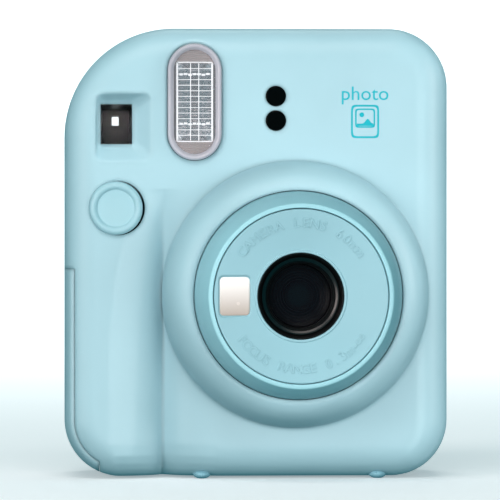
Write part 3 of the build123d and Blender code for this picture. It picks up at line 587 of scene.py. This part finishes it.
def latch_coil():
    """The latch's compression spring: a round wire carried along a helix, its ends closed by flat discs."""
    low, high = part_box("latch_spring")
    turns = 6
    wire = 0.2
    radius = (high.x - low.x) / MM / 2 - wire
    x, y, z = (value / MM for value in mid("latch_spring"))
    length = (high.z - low.z) / MM - 2 * wire
    t = np.linspace(0, 1, turns * 24 + 1)
    turn = 2 * math.pi * turns * t
    out = np.stack([np.cos(turn), np.sin(turn), 0 * turn], -1)
    along = np.stack([-radius * np.sin(turn), radius * np.cos(turn),
                      np.full(len(t), length / (2 * math.pi * turns))], -1)
    along /= np.linalg.norm(along, axis=1)[:, None]
    beside = np.cross(along, out)
    centre = np.stack([x + radius * out[:, 0], y + radius * out[:, 1], z + (t - 0.5) * length], -1)
    a = np.linspace(0, 2 * math.pi, 12, endpoint=False)
    grid = centre[:, None] + wire * (np.cos(a)[None, :, None] * out[:, None]
                                     + np.sin(a)[None, :, None] * beside[:, None])
    ids = np.arange(grid.shape[0] * 12).reshape(-1, 12)
    ahead = np.roll(ids, -1, 1)
    quads = np.stack([ids[:-1], ahead[:-1], ahead[1:], ids[1:]], -1).reshape(-1, 4)
    points = grid.reshape(-1, 3)
    faces = quads.tolist() + [ids[0, ::-1].tolist(), ids[-1].tolist()]
    if volume_sign(points - points.mean(0), quads) < 0:
        faces = [f[::-1] for f in faces]
    piece = as_piece("latch_coil", points, faces, SPRING, "camera_body")
    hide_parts("latch_spring")
    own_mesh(piece)


def card_pictogram():
    """An upright card outline, a picture frame in it, a sun disc and a hill line."""
    def box_outline(w, h, corner, n=64):
        t = np.linspace(0, 2 * math.pi, n, endpoint=False)
        c = np.sign(np.cos(t)) * np.abs(np.cos(t)) ** (2 * corner)
        d = np.sign(np.sin(t)) * np.abs(np.sin(t)) ** (2 * corner)
        return np.stack([w / 2 * c, h / 2 * d], -1)
    middle = np.array((29.1, 96.6))
    card = strip_loop(middle + box_outline(7.6, 9.0, 0.12), middle + box_outline(6.6, 8.0, 0.12), 0.03, -8.05)
    high = middle + np.array((0, 0.9))
    frame_band = strip_loop(high + box_outline(5.4, 5.2, 0.12), high + box_outline(4.6, 4.4, 0.12),
                            0.03, -8.05)
    sun_at = high + np.array((-0.9, 0.9))
    sun = strip_loop(sun_at + box_outline(1.3, 1.3, 0.5), sun_at + box_outline(0.05, 0.05, 0.5), 0.03, -8.05)
    x = np.linspace(-2.2, 2.2, 40)
    hill = high[1] - 1.5 + 1.3 * np.exp(-((x - 0.7) / 0.8) ** 2)
    edge = np.concatenate([np.stack([high[0] + x, hill], -1),
                           np.stack([high[0] + x[::-1], np.full(40, high[1] - 2.1)], -1)])
    core = edge * 0.02 + edge.mean(0) * 0.98
    land = strip_loop(edge, core, 0.03, -8.05)
    points, faces = joined([card, frame_band, sun, land])
    as_piece("printed_card", points, faces, TEAL_PRINT, "camera_body", False)


card_pictogram()


# ---------------------------------------------------------------- button

def button():
    """The shutter button: a seam-side wall, a round raised rim and a slightly domed middle."""
    x = BUTTON_MID.x / MM
    z = BUTTON_MID.z / MM
    path = rounded([
        (0.01, -5.0, 0), (7.24, -5.0, 0.1), (7.24, -8.3, 0.5), (6.9, -9.0, 0.5), (6.15, -9.45, 0.6),
        (5.35, -9.1, 0.35), (5.0, -8.5, 0.25), (3.2, -8.72, 1.2), (0.08, -8.85, 0), (0.01, -8.85, 0),
    ], 10)
    points, quads = spun(path, x, z, 160)
    piece = as_piece("button_cap", points, quads, BUTTON_BLUE, "button")
    return piece


# ---------------------------------------------------------------- flash

FLASH_X = FLASH_MID.x / MM
FLASH_Z = FLASH_MID.z / MM
FLASH_HALF_W = 7.325
FLASH_STRAIGHT = 8.425


def stadium_outline(inset, n=48):
    """A closed run round two half circles joined by straights, moved in by inset."""
    r = FLASH_HALF_W - inset
    top = np.linspace(0, math.pi, n)
    foot = np.linspace(math.pi, 2 * math.pi, n)
    x = np.concatenate([r * np.cos(top), r * np.cos(foot)])
    z = np.concatenate([FLASH_STRAIGHT + r * np.sin(top), -FLASH_STRAIGHT + r * np.sin(foot)])
    return FLASH_X + x, FLASH_Z + z


def stadium_sweep(path):
    """A closed (inset, y) path carried round the stadium outline."""
    rows = []
    for inset, y in path:
        x, z = stadium_outline(inset)
        rows.append(np.stack([x, np.full(len(x), y), z], -1))
    grid = np.array(rows)
    n, m = grid.shape[:2]
    ids = np.arange(n * m).reshape(n, m)
    ahead = np.roll(ids, -1, 1)
    quads = np.stack([ids, ahead, np.roll(ahead, -1, 0), np.roll(ids, -1, 0)], -1).reshape(-1, 4)
    points = grid.reshape(-1, 3)
    if volume_sign(points - points.mean(0), quads) < 0:
        quads = quads[:, ::-1]
    return points, quads


def flash_bezel():
    """The clear cap's thick rim: an outer wall, a rolled shoulder and a slope down to the pane."""
    path = rounded([
        (0.9, -6.8, 0), (0.02, -6.8, 0.1), (0.02, -9.2, 0.5), (0.45, -9.85, 0.4), (1.05, -9.7, 0.4),
        (1.75, -8.75, 0.15), (1.75, -7.0, 0.1),
    ], 8)
    points, quads = stadium_sweep(path)
    piece = as_piece("flash_rim", points, quads, BEZEL, "camera_body")
    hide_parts("flash_lens")


def flash_pane():
    """The pane inside the rim, a thin slab bowed a little forward along its length."""
    u = np.linspace(-1, 1, 25)
    v = np.linspace(-1, 1, 81)
    zz = v * (FLASH_STRAIGHT + FLASH_HALF_W - 1.72)
    reach = FLASH_HALF_W - 1.72
    past = np.clip(np.abs(zz) - FLASH_STRAIGHT, 0, reach)
    half = np.sqrt(np.maximum(reach ** 2 - past ** 2, 0.01))
    x = FLASH_X + u[:, None] * half[None, :]
    z = np.broadcast_to(FLASH_Z + zz[None, :], x.shape)
    y = -8.95 - 0.12 * (1 - v[None, :] ** 2) + 0 * x
    rows = np.stack([x, y, z], -1)
    back = rows + np.array((0, 0.3, 0))
    ring = np.concatenate([rows, back[::-1]], 0)
    n, m = ring.shape[:2]
    ids = np.arange(n * m).reshape(n, m)
    under = np.roll(ids, -1, 0)
    quads = np.stack([ids[:, :-1], ids[:, 1:], under[:, 1:], under[:, :-1]], -1).reshape(-1, 4)
    points = ring.reshape(-1, 3)
    if volume_sign(points - points.mean(0), quads) < 0:
        quads = quads[:, ::-1]
    ends = [ids[:, 0].tolist(), ids[::-1, -1].tolist()]
    as_piece("flash_cover_pane", points, quads.tolist() + ends, PANE, "camera_body")


def flash_caps():
    """The ridged half-round ends: chords of the stadium's end with a saw of fine ridges across."""
    parts = []
    reach = FLASH_HALF_W - 1.6
    for way in (-1, 1):
        v = np.linspace(0, 1, 90)
        zz = 10.4 + v * (FLASH_STRAIGHT + reach - 10.4 - 0.02)
        half = np.sqrt(np.maximum(reach ** 2 - np.maximum(zz - FLASH_STRAIGHT, 0) ** 2, 0.02))
        ridge = 0.45 * np.abs(((zz - 10.4) / 0.78) % 1 - 0.5) * 2
        u = np.linspace(-1, 1, 15)
        x = FLASH_X + u[:, None] * half[None, :]
        z = np.broadcast_to(FLASH_Z + way * zz[None, :], x.shape)
        y = -8.2 - np.broadcast_to(ridge[None, :], x.shape) + 0.15 * u[:, None] ** 2
        top = np.stack([x, y, z], -1)
        base = np.stack([x, np.full_like(x, -7.0), z], -1)
        ring = np.concatenate([top, base[::-1]], 0)
        n, m = ring.shape[:2]
        ids = np.arange(n * m).reshape(n, m)
        under = np.roll(ids, -1, 0)
        quads = np.stack([ids[:, :-1], ids[:, 1:], under[:, 1:], under[:, :-1]], -1).reshape(-1, 4)
        points = ring.reshape(-1, 3)
        flip = volume_sign(points - points.mean(0), quads) < 0
        faces = quads.tolist() + [ids[:, 0].tolist(), ids[::-1, -1].tolist()]
        if flip:
            faces = [f[::-1] for f in faces]
        parts.append((points, faces))
    points, faces = joined(parts)
    piece = as_piece("flash_end_caps", points, faces, CAP_BROWN, "camera_body", False)
    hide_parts("flash_frame")


def flash_grid_and_highlights():
    """The moulded white frame and ribs over the reflector, as thin square-edged bars; two broken rows of
    short white bars are painted highlights of the flash tube.
    """
    half_w = 4.7
    half_h = 10.6
    bars = []
    for x in (-half_w, half_w):
        bars.append(bar(FLASH_X + x - 0.24, FLASH_X + x + 0.24, -8.5, -7.4,
                        FLASH_Z - half_h, FLASH_Z + half_h))
    for z in (-half_h, half_h):
        bars.append(bar(FLASH_X - half_w, FLASH_X + half_w, -8.5, -7.4, FLASH_Z + z - 0.2, FLASH_Z + z + 0.2))
    for x in (-1.1, 1.1):
        bars.append(bar(FLASH_X + x - 0.12, FLASH_X + x + 0.12, -8.3, -7.8,
                        FLASH_Z - half_h, FLASH_Z + half_h))
    for k in range(13):
        z = FLASH_Z - 9.0 + 1.5 * k
        bars.append(bar(FLASH_X - half_w, FLASH_X + half_w, -8.2, -7.8, z - 0.09, z + 0.09))
    # painted highlights: two broken rows of short white bars stand in for the bright glints along the flash
    # tube
    for z in (7.4, -5.9):
        for k in range(7):
            x = FLASH_X - 4.1 + 1.2 * k
            lift = 0.12 * math.sin(2.3 * k)
            bars.append(bar(x, x + 0.95, -8.25, -7.6, FLASH_Z + z + lift - 0.28, FLASH_Z + z + lift + 0.28))
    points, faces = joined(bars)
    as_piece("flash_grid_and_highlights", points, faces, GRID_WHITE_AND_HIGHLIGHT, "camera_body", False)


def flash_trough():
    """The reflector: a parabola across, closed by steep ends, faceted a little along its length."""
    u = np.linspace(-1, 1, 41)
    v = np.linspace(-1, 1, 101)
    x = FLASH_X + 4.75 * u[:, None] + 0 * v[None, :]
    z = FLASH_Z + 10.75 * v[None, :] + 0 * u[:, None]
    facet = 0.9 * np.abs((v * 7) % 1 - 0.5)
    bowl = (1 - u[:, None] ** 2) * (1 - np.abs(v[None, :]) ** 6) * (5.4 + facet[None, :])
    y = -7.3 + bowl
    top = np.stack([x, y, z], -1)
    base = np.stack([x, y + 0.4, z], -1)
    ring = np.concatenate([top, base[::-1]], 0)
    n, m = ring.shape[:2]
    ids = np.arange(n * m).reshape(n, m)
    under = np.roll(ids, -1, 0)
    quads = np.stack([ids[:, :-1], ids[:, 1:], under[:, 1:], under[:, :-1]], -1).reshape(-1, 4)
    points = ring.reshape(-1, 3)
    faces = quads.tolist() + [ids[:, 0].tolist(), ids[::-1, -1].tolist()]
    if volume_sign(points - points.mean(0), quads) < 0:
        faces = [f[::-1] for f in faces]
    piece = as_piece("flash_trough", points, faces, CHROME, "camera_body")
    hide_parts("flash_reflector")


button_piece = button()
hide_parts("shutter_button")
flash_bezel()
flash_pane()
flash_caps()
flash_grid_and_highlights()
flash_trough()


# ---------------------------------------------------------------- lights, floor, camera

def soft_light(name, place, aim, size, power, colour=(1, 1, 1)):
    """A rectangular light at a place, turned towards its aim."""
    data = bpy.data.lights.new(name, "AREA")
    data.shape = "RECTANGLE"
    data.size = size[0]
    data.size_y = size[1]
    data.energy = power
    data.color = colour
    lamp = bpy.data.objects.new(name, data)
    lamp.location = place
    direction = Vector(aim) - Vector(place)
    lamp.rotation_euler = direction.to_track_quat("-Z", "Y").to_euler()
    bpy.context.scene.collection.objects.link(lamp)
    return lamp


def only_on(lamp, names):
    """A flagged light, as behind a studio cutter: it falls on the named nodes alone."""
    group = bpy.data.collections.new(lamp.name + "_reach")
    for name in names:
        group.objects.link(NODES[name])
    lamp.light_linking.receiver_collection = group


def floor_sweep():
    """A level floor that turns up into a wall far behind: a plane carried along a quarter circle."""
    t = np.linspace(0, 1, 60)
    u = np.linspace(-3, 3, 3)
    y = np.where(t < 0.6, -3 + t / 0.6 * 4.2, 1.2 + 0.8 * np.sin((t - 0.6) / 0.4 * math.pi / 2))
    z = np.where(t < 0.6, 0.0, 0.8 - 0.8 * np.cos((t - 0.6) / 0.4 * math.pi / 2))
    y = np.append(y, 2.0)
    z = np.append(z, 3.0)
    grid = np.stack(np.broadcast_arrays(u[:, None], y[None, :], z[None, :]), -1)
    n, m = grid.shape[:2]
    ids = np.arange(n * m).reshape(n, m)
    quads = np.stack([ids[:-1, :-1], ids[1:, :-1], ids[1:, 1:], ids[:-1, 1:]], -1).reshape(-1, 4)
    mesh = bpy.data.meshes.new("floor")
    mesh.from_pydata(grid.reshape(-1, 3).tolist(), [], quads.tolist())
    mesh.polygons.foreach_set("use_smooth", [True] * len(quads))
    floor = bpy.data.objects.new("floor", mesh)
    bpy.context.scene.collection.objects.link(floor)
    material, tree, shader = new_material("pale_floor")
    noise = object_noise(tree, 4, 2)
    tree.links.new(colour_between(tree, noise.outputs["Fac"], (0.90, 0.90, 0.90), (0.92, 0.92, 0.92)),
                   shader.inputs["Base Color"])
    shader.inputs["Roughness"].default_value = 0.7
    shader.inputs["Specular IOR Level"].default_value = 0.1
    shader.inputs["Emission Color"].default_value = (1.0, 1.0, 1.0, 1)
    shader.inputs["Emission Strength"].default_value = 0.30
    floor.data.materials.append(material)
    floor.visible_diffuse = False
    floor.visible_glossy = False


latch_coil()
floor_sweep()
soft_light("key", (-1.00, -0.78, 0.20), (0, 0, 0.06), (0.42, 0.85), 8.6, (1.0, 0.89, 0.87))
soft_light("top_box", (-0.1, -0.50, 0.75), (0, 0, 0.1), (0.6, 0.30), 2.1, (1.0, 0.93, 0.91))
low = soft_light("low_board", (0.05, -0.42, 0.012), (0, 0, 0.03), (0.60, 0.20), 3.1, (1.0, 0.90, 0.88))
low.visible_glossy = False
side = soft_light("side_box", (0.75, -0.30, 0.12), (0.05, 0, 0.06), (0.20, 0.7), 4.6, (1.0, 0.93, 0.92))
only_on(side, ("front_cover", "rear_cover", "film_door"))
soft_light("back_wall", (0.0, 0.9, 1.3), (0, 1.95, 0.25), (0.7, 0.5), 22.0)

world = bpy.data.worlds.new("studio")
world.use_nodes = True
world.node_tree.nodes["Background"].inputs["Color"].default_value = (0.10, 0.85, 1.0, 1)
world.node_tree.nodes["Background"].inputs["Strength"].default_value = 0.20
bpy.context.scene.world = world
bpy.context.scene.view_settings.view_transform = "Standard"

camera_data = bpy.data.cameras.new("camera")
camera_data.lens = 265
camera_data.sensor_width = 36
camera_data.shift_x = -0.0121
camera_data.shift_y = 0.0064
camera_data.clip_start = 0.05
camera_data.clip_end = 20
camera = bpy.data.objects.new("camera", camera_data)
bpy.context.scene.collection.objects.link(camera)
bpy.context.scene.camera = camera
AIM = Vector((0, 0, 0.061))
azimuth = math.radians(-2.5)
elevation = math.radians(0.5)
away = Vector((math.sin(azimuth) * math.cos(elevation), -math.cos(azimuth) * math.cos(elevation),
               math.sin(elevation)))
camera.location = AIM + away * 1.0
camera.rotation_euler = (-away).to_track_quat("-Z", "Y").to_euler()
